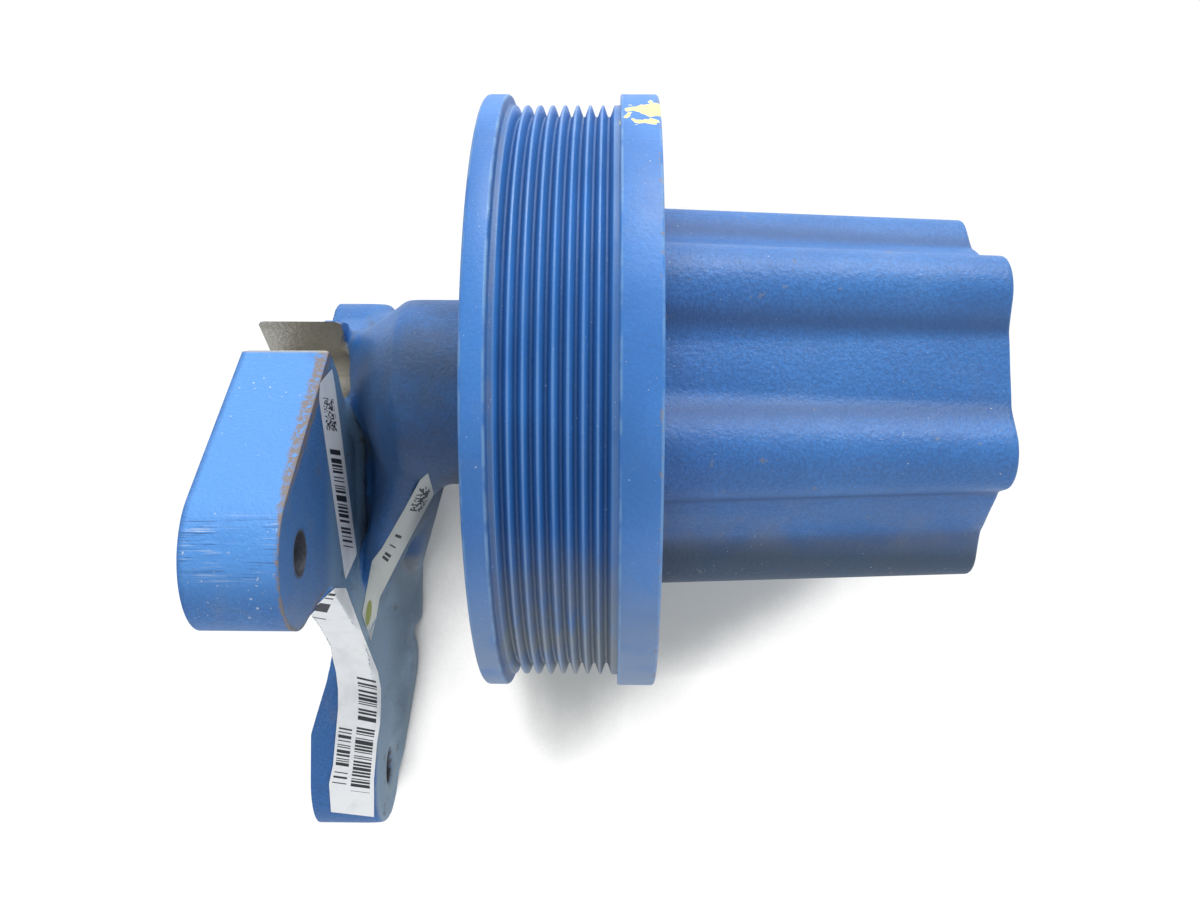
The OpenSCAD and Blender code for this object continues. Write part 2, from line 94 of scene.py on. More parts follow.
print("lens", round(camera_data.lens, 2), "mm")


def photo_ray(column, row):
    """Direction from the eye through a place in the photograph."""
    return (forward + eye_right * ((column - PHOTO_W / 2) / FOCAL_PX)
            + eye_up * ((PHOTO_H / 2 - row) / FOCAL_PX)).normalized()


# %% [markdown]
# ## Helpers
# Every piece is a mesh object that sits at the origin, with its place in its mesh. Every material
# starts from the Principled shader, and the class below adds its nodes in few words, so a finish
# reads like a recipe. Patterns read Object coordinates in metres, so a grain of 1.6 mm is a noise
# scale of about 600.


# %% Objects and plain materials
def link(obj):
    """Adds an object to the scene's collection."""
    bpy.context.scene.collection.objects.link(obj)
    return obj


def mesh_object(name, bm, *materials):
    """Makes an object of a bmesh, and frees the bmesh."""
    mesh = bpy.data.meshes.new(name)
    bm.to_mesh(mesh)
    bm.free()
    for material in materials:
        mesh.materials.append(material)
    return link(bpy.data.objects.new(name, mesh))


def node_material(name, **sockets):
    """A material with a Principled shader whose plain sockets are set by name."""
    material = bpy.data.materials.new(name)
    material.use_nodes = True
    shader = material.node_tree.nodes["Principled BSDF"]
    for key, value in sockets.items():
        shader.inputs[key.replace("_", " ")].default_value = value
    return material


def darker(colour, share):
    """The same colour with less light, still opaque."""
    return tuple(part * share for part in colour[:3]) + (1,)


# %% Shader helpers
class Shader:
    """Adds nodes to one material in few words."""

    def __init__(self, material):
        self.material = material
        self.tree = material.node_tree
        self.principled = self.tree.nodes["Principled BSDF"]
        self.coord = self.node("ShaderNodeTexCoord").outputs["Object"]

    def node(self, kind, **settings):
        node = self.tree.nodes.new(kind)
        for key, value in settings.items():
            setattr(node, key, value)
        return node

    def feed(self, socket, value):
        """Links an output to a socket, or sets the socket to a plain value."""
        if isinstance(value, bpy.types.NodeSocket):
            self.tree.links.new(value, socket)
        else:
            socket.default_value = value

    def noise(self, scale, detail=3, rough=0.55, at=None):
        node = self.node("ShaderNodeTexNoise")
        self.feed(node.inputs["Vector"], at or self.coord)
        node.inputs["Scale"].default_value = scale
        node.inputs["Detail"].default_value = detail
        node.inputs["Roughness"].default_value = rough
        return node.outputs["Fac"]

    def math(self, op, a, b=0.0):
        node = self.node("ShaderNodeMath", operation=op)
        self.feed(node.inputs[0], a)
        self.feed(node.inputs[1], b)
        return node.outputs[0]

    def band(self, value, low, high):
        """0 at low and 1 at high, with a soft step between, whichever of them is larger."""
        node = self.node("ShaderNodeMapRange", interpolation_type="SMOOTHSTEP")
        self.feed(node.inputs["Value"], value)
        node.inputs["From Min"].default_value = low
        node.inputs["From Max"].default_value = high
        return node.outputs["Result"]

    def patches(self, scale, detail, low, high, rough=0.55):
        """Irregular patches: a noise between two of its levels."""
        return self.band(self.noise(scale, detail, rough), low, high)

    def mix(self, fac, a, b):
        node = self.node("ShaderNodeMix", data_type="RGBA")
        self.feed(node.inputs[0], fac)
        self.feed(node.inputs[6], a)
        self.feed(node.inputs[7], b)
        return node.outputs[2]

    def xyz(self):
        node = self.node("ShaderNodeSeparateXYZ")
        self.feed(node.inputs[0], self.coord)
        return node.outputs

    def radius(self):
        """Distance from the hub axis."""
        _, up, near_eye = self.xyz()
        square = self.math("ADD", self.math("POWER", up, 2.0), self.math("POWER", near_eye, 2.0))
        return self.math("SQRT", square)

    def attribute(self, name):
        return self.node("ShaderNodeAttribute", attribute_name=name).outputs["Fac"]

    def bump(self, height, distance, strength=1.0, under=None):
        node = self.node("ShaderNodeBump")
        node.inputs["Distance"].default_value = distance
        node.inputs["Strength"].default_value = strength
        self.feed(node.inputs["Height"], height)
        if under is not None:
            self.feed(node.inputs["Normal"], under)
        return node.outputs[0]


# %% [markdown]
# ## Table and light
# The part lies on its side on a white table, so the table is a level plane that touches the
# pulley's rim. For the camera it glows plain white wherever it is open to the light, and shows its
# own shaded colour under the part. An ambient occlusion node that looks towards the window finds
# those places, so the shadow falls away from the window. The table is also counted as open on the
# left, where the photograph has hardly any shadow. Lamps at six places were rendered alone, and
# their powers were solved from the shades of the blue. Of these, a wide window from the upper
# right does most, a sheet and a wall fill in weakly, and an even world gives the rest.

# %% Table
TABLE_Z = cad_box[0][2] - 0.2 * MM
TABLE_HALF = 2.5
WHITE, SHADED = (0.9, 0.9, 0.9, 1), (0.56, 0.56, 0.53, 1)
TO_WINDOW = (-0.36, 0.60, 0.714)
SHADOW_REACH = 0.08
LEFT_FROM, LEFT_TO, LEFT_GAIN = 0.090, 0.060, 0.36
SHADOW_ENDS, LIGHT_STARTS = 0.69, 0.89
table_white = node_material("table_white", Roughness=0.7)
s = Shader(table_white)
seen = s.node("ShaderNodeLightPath").outputs["Is Camera Ray"]
s.feed(s.principled.inputs["Base Color"], s.mix(seen, WHITE, SHADED))
to_window = s.node("ShaderNodeCombineXYZ")
for socket, part in zip(to_window.inputs, TO_WINDOW):
    socket.default_value = part
openness = s.node("ShaderNodeAmbientOcclusion", samples=32)
openness.inputs["Distance"].default_value = SHADOW_REACH
s.feed(openness.inputs["Normal"], to_window.outputs[0])
left_side = s.math("MULTIPLY", s.band(s.xyz()[0], LEFT_FROM, LEFT_TO), LEFT_GAIN)
lit = s.band(s.math("ADD", openness.outputs["AO"], left_side), SHADOW_ENDS, LIGHT_STARTS)
glow = s.node("ShaderNodeEmission")
glow.inputs["Strength"].default_value = 1.05
skin = s.node("ShaderNodeMixShader")
parts = (s.math("MULTIPLY", seen, lit), s.principled.outputs[0], glow.outputs[0])
for socket, part in zip(skin.inputs, parts):
    s.feed(socket, part)
s.feed(s.tree.nodes["Material Output"].inputs[0], skin.outputs[0])
bm = bmesh.new()
bmesh.ops.create_grid(bm, x_segments=4, y_segments=4, size=TABLE_HALF)
bmesh.ops.translate(bm, verts=bm.verts, vec=(0.1, 0, TABLE_Z))
table = mesh_object("table", bm, table_white)
print("table at", round(TABLE_Z / MM, 1), "mm")


# %% Lamps and world
def area_lamp(name, place, aim, size, watts):
    """A soft lamp that points from a place to an aim, both in metres."""
    data = bpy.data.lights.new(name, "AREA")
    data.shape = "RECTANGLE"
    data.size, data.size_y = size
    data.energy = watts
    lamp = link(bpy.data.objects.new(name, data))
    lamp.location = place
    lamp.rotation_euler = (Vector(aim) - Vector(place)).to_track_quat("-Z", "Y").to_euler()


area_lamp("window", place=(0.35, 0.95, 0.45), aim=(0.09, 0, 0), size=(0.7, 0.5), watts=10.8)
area_lamp("sheet", place=(-0.5, 0.85, 0.5), aim=(0.09, 0, 0), size=(0.7, 0.5), watts=1.2)
area_lamp("wall", place=(0.45, -0.60, 0.40), aim=(0.05, -0.05, 0), size=(0.6, 0.5), watts=0.8)
world = bpy.data.worlds.new("room")
world.use_nodes = True
bpy.context.scene.world = world
sky = world.node_tree.nodes["Background"]
sky.inputs["Color"].default_value = (0.93, 0.96, 1, 1)
sky.inputs["Strength"].default_value = 0.86
bpy.context.scene.view_settings.view_transform = "Standard"
print("lamps", len(bpy.data.lights))

# %% [markdown]
# ## Paint over a cast skin
# Cast iron keeps the grain of the sand mould under its paint, so the paint material has a coarse
# and a fine bump, and its pits are a deeper blue. The blue drifts a little, and dust lies where
# nobody wipes. Dirt, wear, bare metal, painted shade and painted light are layers: each has a
# mask, a colour, and a gloss and metal of its own where they differ. Masks are soft steps along
# the hub axis, upwards and away from the axis, in millimetres, times patches of noise that break
# their edges.

# %% Colours
BLUE, BLUE_LIGHT = (0.025, 0.140, 0.405, 1), (0.035, 0.172, 0.470, 1)
BLUE_DEEP = (0.016, 0.062, 0.180, 1)
TURNED_BLUE, TURNED_LIGHT = (0.024, 0.142, 0.425, 1), (0.036, 0.185, 0.525, 1)
# painted highlight on the front foot
FACE_HIGHLIGHT_BLUE = (0.075, 0.265, 0.640, 1)
# belt wear and a painted highlight on the rib tips
RUBBED_HIGHLIGHT_BLUE = (0.10, 0.22, 0.46, 1)
EDGE_BLUE = (0.150, 0.290, 0.480, 1)
# painted fill light
PAINTED_FILL_LIGHT_BLUE = (0.190, 0.310, 0.420, 1)
SHADE_BLUE = (0.022, 0.042, 0.070, 1)
# painted shade for the underside of the nose
UNDERSIDE_SHADE = (0.024, 0.046, 0.075, 1)
# painted bounce light from the table
BOUNCE_LIGHT_GREY = (0.24, 0.28, 0.31, 1)
DUST, PALE_DUST = (0.200, 0.190, 0.165, 1), (0.350, 0.350, 0.330, 1)
# dirt and painted shade for the fillets, and soot and painted shade for the neck
FILLET_DIRT_AND_SHADE, SOOT_AND_SHADE = (0.075, 0.085, 0.085, 1), (0.034, 0.040, 0.038, 1)
BROWN_DIRT, BROWN_RUST = (0.105, 0.078, 0.052, 1), (0.115, 0.095, 0.075, 1)
RUST = (0.210, 0.160, 0.115, 1)
BARE, SEAT_METAL = (0.430, 0.415, 0.360, 1), (0.500, 0.475, 0.410, 1)
# dark metal, painted shade in the foot holes
DRILLED_METAL_SHADE = (0.085, 0.075, 0.065, 1)
SPECK = (0.620, 0.640, 0.630, 1)
YELLOW = (0.80, 0.70, 0.24, 1)


# %% Paint recipe
class Paint(Shader):
    """Blue paint over a sand-cast skin, with layers of dirt, wear, painted shade and painted light that are
    added one by one.
    """

    def __init__(self, name, grain=1.0, mottle=0.25, blue=BLUE, light=BLUE_LIGHT):
        super().__init__(node_material(name, Roughness=0.42, Metallic=0.0))
        self.place = self.xyz()
        self.from_axis = self.radius()
        self.grain = grain
        self.colour = self.mix(self.patches(28, 2, 0.35, 0.7), blue, light)
        grime = self.math("MULTIPLY", self.patches(75, 5, 0.5, 0.75, 0.65), mottle)
        self.colour = self.mix(grime, self.colour, DUST)
        pits = self.math("MULTIPLY", self.patches(1150, 4, 0.62, 0.40, 0.65), 0.40 * grain)
        self.colour = self.mix(pits, self.colour, BLUE_DEEP)
        self.rough = self.math("ADD", self.math("MULTIPLY", self.noise(160, 4), 0.20), 0.38)
        self.metal = 0.0

    def along(self, low, high):
        """A soft step from 0 to 1 along the hub axis, in millimetres from the engine face."""
        return self.band(self.place[0], low * MM, high * MM)

    def up(self, low, high):
        """A soft step upwards in the picture, in millimetres from the hub axis."""
        return self.band(self.place[1], low * MM, high * MM)

    def out(self, low, high):
        """A soft step of the radius, in millimetres."""
        return self.band(self.from_axis, low * MM, high * MM)

    def beside(self, x, far, close):
        """1 closer to a place on the hub axis than close, and 0 beyond far, in millimetres."""
        gap = self.math("ABSOLUTE", self.math("SUBTRACT", self.place[0], x * MM))
        return self.band(gap, far * MM, close * MM)

    def all_of(self, *masks):
        result = masks[0]
        for mask in masks[1:]:
            result = self.math("MULTIPLY", result, mask)
        return result

    def layer(self, mask, colour, amount=1.0, rough=None, metal=None):
        """Lays a colour over what is there, and its gloss and metal where they are given."""
        mask = self.math("MULTIPLY", mask, amount)
        self.colour = self.mix(mask, self.colour, colour)
        if rough is not None:
            self.rough = self.blend(mask, self.rough, rough)
        if metal is not None:
            self.metal = self.blend(mask, self.metal, metal)

    def blend(self, fac, a, b):
        """A mix of two numbers."""
        node = self.node("ShaderNodeMix", data_type="FLOAT")
        for socket, value in zip(node.inputs[0:1] + node.inputs[2:4], (fac, a, b)):
            self.feed(socket, value)
        return node.outputs[0]

    def specks(self, scale, share):
        """Scattered small spots; share is how much of the skin they take."""
        return self.patches(scale, 2, 0.72 - share, 0.75 - share, 0.5)

    def nicks(self):
        """Tiny pale dots where a grain of sand came off with the paint."""
        here = self.patches(45, 3, 0.42, 0.6)
        self.layer(self.all_of(here, self.specks(1500, -0.01)), SPECK, 0.65, 0.5)

    def finish(self):
        self.feed(self.principled.inputs["Base Color"], self.colour)
        self.feed(self.principled.inputs["Roughness"], self.rough)
        self.feed(self.principled.inputs["Metallic"], self.metal)
        coarse = self.bump(self.noise(820, 3, 0.6), 0.30 * MM * self.grain, 0.9)
        fine = self.bump(self.noise(2100, 2), 0.12 * MM * self.grain, 0.6, coarse)
        self.feed(self.principled.inputs["Normal"], fine)
        return self.material


# %% [markdown]
# ## Nose and pulley paint
# The nose is rough casting under thick paint. Painted shade darkens the folds beside its lobes,
# its root beside the pulley and its lowest side, and dust lies on its root and lower side. The
# pulley is turned and painted: painted shade darkens its grooves inside and the gutter by the
# flange, its rib tips are rubbed by the belt and painted lighter as a highlight, its edges are worn
# pale, dust lies in the lower grooves, and its lower side is greyed lighter as painted bounce light.
# A dab of yellow marks the band.

# %% Nose paint
paint = Paint("nose_paint", 1.0, 0.10)
low_side = paint.up(-26, -46)
# Painted shade: the folds beside each lobe are darkened.
paint.layer(paint.attribute("crease_shade"), BLUE_DEEP, 0.68, 0.55)
paint.layer(paint.all_of(low_side, paint.patches(60, 4, 0.25, 0.6)), DUST, 0.35, 0.6)
# Painted shade at the nose's root beside the pulley's band, in patches.
paint.layer(paint.all_of(paint.along(137.5, 120.5), paint.patches(90, 4, 0.2, 0.65)), BLUE_DEEP, 0.55, 0.6)
paint.layer(paint.all_of(paint.along(126, 120.5), low_side), DUST, 0.5, 0.7)
# Painted shade: the lowest side of the nose is darker.
paint.layer(paint.up(-40, -49), UNDERSIDE_SHADE, 0.85, 0.6)
paint.layer(paint.specks(240, 0.0), DUST, 0.4, 0.7)
paint.nicks()
bore = paint.all_of(paint.out(36.2, 35.9), paint.along(120, 125))
paint.layer(bore, BARE, 0.9, 0.34, 0.85)
paint.layer(paint.attribute("bare"), BARE, 0.9, 0.36, 0.8)
nose_paint = paint.finish()
print(nose_paint.name, len(paint.tree.nodes), "nodes")

# %% Pulley paint
PULLEY_EDGES = (72.8, 79.1, 110.4, 120.98)
DAB_AT = (0.1176, 0.0722, 0.0480)
paint = Paint("pulley_paint", 0.35, 0.08, TURNED_BLUE, TURNED_LIGHT)
belt_run = paint.all_of(paint.along(79.0, 79.5), paint.along(110.5, 110.0),
                        paint.out(79.5, 80.0), paint.out(84.6, 84.3))
# Painted shade: the belt grooves darken towards their floors.
paint.layer(paint.all_of(belt_run, paint.out(83.5, 81.0)), BLUE_DEEP, 0.45, 0.6)
# The rib tips are rubbed by the belt, and painted lighter as a painted highlight.
tips = paint.all_of(belt_run, paint.out(83.6, 83.95), paint.patches(45, 4, 0.3, 0.6))
paint.layer(tips, RUBBED_HIGHLIGHT_BLUE, 0.6, 0.34)
low_side = paint.up(-30, -75)
paint.layer(paint.all_of(belt_run, low_side, paint.patches(70, 4, 0.3, 0.6)), DUST, 0.75, 0.7)
# Painted bounce light: the pulley's lower side is greyed lighter in patches.
paint.layer(paint.all_of(low_side, paint.patches(50, 5, 0.2, 0.55)), BOUNCE_LIGHT_GREY, 0.52, 0.45)
# Painted shade in the gutter between the flange and the grooves, with a little rust over it.
gutter = paint.all_of(paint.along(78.6, 79.0), paint.along(81.2, 80.0))
paint.layer(gutter, BLUE_DEEP, 0.55, 0.6)
paint.layer(paint.all_of(gutter, paint.patches(110, 4, 0.45, 0.65)), RUST, 0.15, 0.7)
corner = paint.all_of(paint.out(86.2, 86.7), paint.patches(320, 4, 0.56, 0.62), paint.beside(120.6, 1.0, 0.4))
paint.layer(corner, RUST, 0.7, 0.7)
worn = paint.all_of(paint.out(86.0, 86.8), paint.patches(130, 4, 0.35, 0.6))
for edge in PULLEY_EDGES:
    paint.layer(paint.all_of(worn, paint.beside(edge, 0.9, 0.5)), EDGE_BLUE, 0.6)
paint.nicks()
paint.layer(paint.out(42.5, 41.5), BARE, 0.9, 0.34, 0.85)
away = paint.node("ShaderNodeVectorMath", operation="DISTANCE")
paint.feed(away.inputs[0], paint.coord)
away.inputs[1].default_value = DAB_AT
dab_edge = paint.math("ADD", away.outputs["Value"], paint.math("MULTIPLY", paint.noise(230, 3), 0.030))
paint.layer(paint.band(dab_edge, 0.0212, 0.0206), YELLOW, 0.95, 0.45)
pulley_paint = paint.finish()
print(pulley_paint.name, len(paint.tree.nodes), "nodes")

# %% [markdown]
# ## Bracket paint
# The bracket carries the most dirt. Its slot, holes and seats are bare metal, and the walls of its
# holes are painted dark as painted shade. Its front rim is rubbed to crumbs of rust, and grey-brown
# dust lies on the walls that face the pulley, which are also painted lighter as painted fill light.
# Painted shade darkens its fillets, where dirt lies, and its neck beside the pulley, which is
# sooty. The upper part of the front foot's side is painted brighter as a painted highlight, and the
# side is chipped and scored. The skin of the bracket stores these places as attributes, which the
# paint reads back.

# %% Dirt, painted shade and painted light on the bracket
paint = Paint("bracket_paint", 1.0, 0.30)
front_face, bare, sheltered = (paint.attribute(name) for name in ("front_face", "bare", "sheltered"))
# Dark dirt and painted shade in the fillets.
paint.layer(paint.all_of(paint.attribute("hollow"), paint.patches(80, 4, 0.2, 0.6)), FILLET_DIRT_AND_SHADE, 0.75, 0.7)
paint.layer(paint.attribute("dusty"), PALE_DUST, 0.80, 0.65)
# Painted fill light: the walls that face the pulley are painted a lighter blue.
paint.layer(sheltered, PAINTED_FILL_LIGHT_BLUE, 0.70, 0.6)
# Mottled soot and painted shade on the neck beside the pulley.
neck_soot_and_shade = paint.all_of(paint.along(40, 52), paint.patches(42, 5, 0.42, 0.62, 0.65))
paint.layer(neck_soot_and_shade, SOOT_AND_SHADE, 0.30, 0.6)
paint.layer(paint.all_of(sheltered, paint.patches(150, 6, 0.60, 0.68, 0.7)), BROWN_RUST, 0.6, 0.75)
under_neck = paint.all_of(paint.along(54, 66), paint.up(-14, -30), paint.patches(85, 4, 0.3, 0.6))
paint.layer(under_neck, BROWN_DIRT, 0.75, 0.75)

# %% Painted highlight, chips and scores on the front foot
SCORE_STRETCH = (60, 2600, 2600)
# Painted highlight: the upper part of the front foot's side is painted a brighter blue.
painted_highlight = paint.all_of(front_face, paint.up(-62, -45), paint.patches(55, 3, 0.0, 0.4))
paint.layer(painted_highlight, FACE_HIGHLIGHT_BLUE, 0.9, 0.42)
chips = paint.all_of(front_face, paint.specks(700, 0.035), paint.patches(90, 2, 0.45, 0.6))
paint.layer(chips, SPECK, 0.7, 0.5)
stretched = paint.node("ShaderNodeMapping")
paint.feed(stretched.inputs["Vector"], paint.coord)
stretched.inputs["Scale"].default_value = SCORE_STRETCH
scores = paint.noise(1, 2, 0.5, stretched.outputs[0])
scored = paint.all_of(front_face, paint.up(-33, -37), paint.up(-53, -48), paint.patches(70, 3, 0.35, 0.55))
paint.layer(paint.all_of(scored, paint.band(scores, 0.58, 0.64)), SPECK, 0.45)
paint.layer(paint.all_of(scored, paint.band(scores, 0.42, 0.36)), BLUE_DEEP, 0.8)

# %% Rust on the rim, bare metal, and painted shade
between = paint.all_of(paint.along(27, 34), paint.up(20, 8), paint.patches(38, 4, 0.25, 0.55))
paint.layer(between, SHADE_BLUE, 0.55, 0.5)
paint.nicks()
wide = paint.math("MULTIPLY", paint.up(-40, -12), 2.4)
rim = paint.math("SUBTRACT", paint.attribute("rim_gap"), wide)
rim = paint.math("ADD", rim, paint.math("MULTIPLY", paint.noise(300, 5, 0.7), 4.2))
crumbs = paint.patches(650, 4, 0.38, 0.50, 0.7)
paint.layer(paint.all_of(paint.band(rim, 3.4, 2.2), crumbs), RUST, 0.9, 0.75)
paint.layer(bare, SEAT_METAL, 0.95, 0.34, 0.85)
paint.layer(paint.all_of(bare, paint.patches(75, 7, 0.42, 0.75, 0.7)), RUST, 0.6, 0.6, 0.4)
# The walls of the foot holes are metal, painted dark as painted shade.
paint.layer(paint.attribute("drilled"), DRILLED_METAL_SHADE, 0.92, 0.5, 0.5)
bracket_paint = paint.finish()
print(bracket_paint.name, len(paint.tree.nodes), "nodes")


# %% [markdown]
# ## Machined and pressed steel
# Turned faces carry fine rings about the hub axis, which a wave of the radius gives. Pressed and
# moulded parts have a plain satin skin.


# %% Metal materials
def steel(name, colour, rough, metallic=1.0, rings=0.0):
    """Metal with fine turned rings, a given number of millimetres apart, or a satin skin."""
    material = node_material(name, Metallic=metallic, Roughness=rough)
    s = Shader(material)
    tone = s.mix(s.patches(120, 4, 0.3, 0.75), colour, darker(colour, 0.72))
    s.feed(s.principled.inputs["Base Color"], tone)
    s.feed(s.principled.inputs["Roughness"],
           s.math("ADD", s.math("MULTIPLY", s.noise(300, 3), 0.18), rough - 0.09))
    if rings:
        lines = s.math("SINE", s.math("MULTIPLY", s.radius(), 2 * math.pi / (rings * MM)))
        s.feed(s.principled.inputs["Normal"], s.bump(lines, 0.02 * MM, 0.5))
    else:
        s.feed(s.principled.inputs["Normal"], s.bump(s.noise(1500, 2), 0.03 * MM, 0.4))
    return material


# %% Finishes by name
finishes = {
    "machined_steel": steel("machined_steel", (0.56, 0.56, 0.57, 1), 0.3, rings=0.35),
    "bearing_steel": steel("bearing_steel", (0.62, 0.62, 0.64, 1), 0.2, rings=0.5),
    "pressed_steel": steel("pressed_steel", (0.42, 0.43, 0.45, 1), 0.38),
    "black_steel": steel("black_steel", (0.12, 0.12, 0.13, 1), 0.45, 0.6),
    "seal_rubber": steel("seal_rubber", (0.03, 0.03, 0.03, 1), 0.62, 0.0),
    "cage_polymer": steel("cage_polymer", (0.45, 0.36, 0.2, 1), 0.5, 0.0),
    "bracket_paint": bracket_paint,
    "hub_paint": nose_paint,
}
record = frame["record"]
slot_of = {item["node"]: item["material_slot"] for item in record["subparts"]}
body_of = {node: body for body, nodes in record["behaviour"]["bodies"].items() for node in nodes}
print("finishes", len(finishes))

# %% [markdown]
# ## Turned parts inside the hub
# Rings, races, the seal and the end cap are lathe or press work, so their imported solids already
# have the right shape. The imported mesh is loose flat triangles. A merged copy with smooth normals
# and creases kept at real corners shows them as turned metal.


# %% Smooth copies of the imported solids
def merged_copy(node):
    """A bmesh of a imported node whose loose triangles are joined."""
    bm = bmesh.new()
    bm.from_mesh(frame["nodes"][node].data)
    bmesh.ops.remove_doubles(bm, verts=bm.verts, dist=1e-6)
    return bm


def finish_piece(obj, node, crease=32):
    """Smooth normals and the node's place in the assembly, with the imported node hidden."""
    obj.data.shade_smooth()
    obj.data.set_sharp_from_angle(angle=math.radians(crease))
    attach(obj, body_of[node])
    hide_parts(node)


SHAPED_HERE = ("support_bracket", "pulley_hub")
for node in slot_of:
    if node not in SHAPED_HERE:
        finish_piece(mesh_object(node + "_turned", merged_copy(node), finishes[slot_of[node]]), node)
print("smooth copies", len(slot_of) - len(SHAPED_HERE))

# %% [markdown]
# ## The pulley
# A belt pulley is turned from the casting: a flange, eight belt grooves, a plain band, then the
# web and the bearing boss. One closed outline of half its section is spun about the hub axis, as
# on a lathe. Corners that a turner breaks are cut by a vertex bevel on the outline first.

# %% Pulley outline
REAR, FRONT = 72.8, 120.98
RIM_R, TIP_R, DISH_R, BOSS_R = 87.0, 84.0, 72.3, 49
BEARING_R, CLIP_R, FRONT_BEARING_R = 40, 41.8, 34
FLANGE, RUNOUT, BAND, RECESS = 6.3, 1.4, 10.6, 3
GROOVES, PITCH_MM, GROOVE_DEEP = 8, 3.56, 3.2
TIP_HALF, FLOOR_HALF = 1.48, 0.35
first_groove = REAR + FLANGE + RUNOUT
band_start = FRONT - BAND
outline = [(REAR, DISH_R, 0.8), (REAR, RIM_R, 1.1), (first_groove - RUNOUT, RIM_R, 0.7),
           (first_groove - 1.1, TIP_R, 0.2)]
for groove in range(GROOVES):
    middle = first_groove + PITCH_MM * (groove + 0.5)
    outline += [(middle - TIP_HALF, TIP_R, 0.22), (middle - FLOOR_HALF, TIP_R - GROOVE_DEEP, 0.2),
                (middle + FLOOR_HALF, TIP_R - GROOVE_DEEP, 0.2), (middle + TIP_HALF, TIP_R, 0.22)]
outline += [(band_start, TIP_R, 0.3), (band_start, RIM_R, 0.5), (FRONT, RIM_R, 0.9), (FRONT, DISH_R, 1.2),
            (FRONT - RECESS, DISH_R - 1, 1.5), (FRONT - RECESS, FRONT_BEARING_R, 0),
            (116.95, FRONT_BEARING_R, 0), (116.95, BEARING_R, 0), (96.0, BEARING_R, 0), (96.0, CLIP_R, 0),
            (93.4, CLIP_R, 0), (93.4, BEARING_R, 0), (84.0, BEARING_R, 0.5), (84.0, BOSS_R, 1.2),
            (105.93, BOSS_R, 3.0), (105.93, DISH_R, 3.0)]
print("outline", len(outline), "corners")


# %% Spin the outline
def spun(name, points, material, steps=240):
    """Turns a closed outline of (x, radius, corner) about the hub axis."""
    bm = bmesh.new()
    verts = [bm.verts.new((x * MM, r * MM, 0)) for x, r, _ in points]
    for here, there in zip(verts, verts[1:] + verts[:1]):
        bm.edges.new((here, there))
    sizes = {vert: corner for vert, (_, _, corner) in zip(verts, points)}
    for size in sorted({corner for _, _, corner in points} - {0}):
        bmesh.ops.bevel(bm, geom=[v for v, corner in sizes.items() if corner == size], offset=size * MM,
                        affect="VERTICES", segments=3, profile=0.5, material=-1)
    bmesh.ops.spin(bm, geom=bm.verts[:] + bm.edges[:], cent=(0, 0, 0), axis=(1, 0, 0),
                   angle=2 * math.pi, steps=steps, use_merge=True)
    bmesh.ops.remove_doubles(bm, verts=bm.verts, dist=1e-7)
    bmesh.ops.recalc_face_normals(bm, faces=bm.faces)
    print(name, len(bm.verts), "vertices")
    return mesh_object(name, bm, material)


finish_piece(spun("belt_pulley", outline, pulley_paint), "pulley_hub")

# %% [markdown]
# ## The fluted nose
# The nose is a cast tube with six lobes for the fan's bolts. Its section is a soft maximum of a
# round core and six smaller circles, so each lobe runs into the core in one S curve, and a mean
# over eight degrees wears its corners round. The mould needs a draft, so the section grows towards
# the pulley. One circle of vertices is pushed to that section, then extruded from ring to ring:
# root fillet, length, rounded end, face and bore.

# %% Section of the nose
NOSE_LONG = 94.0
NOSE_END = FRONT + NOSE_LONG
LOBES = 6
CORE_R, LOBE_C, LOBE_R, BLEND, DRAFT, LOBE_TURN = 42.8, 43.5, 10.5, 6.0, 3.3, -6.5
PAINT_THICK = 0.2
PITCH_TURN = 2 * math.pi / LOBES


def from_lobe(turn):
    """An angle measured from the nearest lobe's middle."""
    return (turn + PITCH_TURN / 2) % PITCH_TURN - PITCH_TURN / 2


def plain_radius(turn, growth):
    """Radius of core and lobes at an angle from the first lobe, grown all round."""
    turn = from_lobe(turn)
    across = LOBE_C * math.sin(turn)
    lobe = LOBE_C * math.cos(turn) + math.sqrt(max((LOBE_R + growth) ** 2 - across ** 2, 0))
    core = CORE_R + growth
    overlap = max(BLEND - abs(lobe - core), 0) / BLEND
    return max(lobe, core) + overlap * overlap * BLEND / 4


def nose_radius(turn, growth):
    """The same with its corners worn round, as a mean over eight degrees, and painted."""
    steps = range(-4, 5)
    return sum(plain_radius(turn + math.radians(step), growth) for step in steps) / len(steps) + PAINT_THICK


# %% Rings of the nose
ROOT, END_ROUND = 4.0, 1.4
SUNK = 2  # how far the tube starts inside the web


def arc_steps(count, last=90):
    """Angles of an arc in equal steps."""
    return [math.radians(last * step / count) for step in range(count + 1)]


root_x = FRONT - (RECESS + 0.2)  # a hair under the web's face, so no slit shows
root_growth = DRAFT * (1 - (ROOT - RECESS) / NOSE_LONG)
stations = [(root_x - SUNK, DRAFT + ROOT)]
stations += [(root_x + ROOT * (1 - math.cos(a)), root_growth + ROOT * (1 - math.sin(a)))
             for a in arc_steps(6)]
ends = list(zip(stations[-1], (NOSE_END - END_ROUND, 0)))
stations += [tuple(a + (b - a) * step / 6 for a, b in ends) for step in range(1, 6)]
stations += [(NOSE_END - END_ROUND * (1 - math.sin(a)), END_ROUND * (math.cos(a) - 1)) for a in arc_steps(4)]
pilot = [(NOSE_END, 36.4), (NOSE_END - 0.4, 36), (NOSE_END - 5.3, 36), (NOSE_END - 5.3, 33.3)]
cap_seat = [(NOSE_END - 5.6, 33), (NOSE_END - 14.3, 33), (NOSE_END - 14.3, 31)]
clip_groove = [(188.05, 31), (188.05, 32.8), (185.95, 32.8), (185.95, 31)]
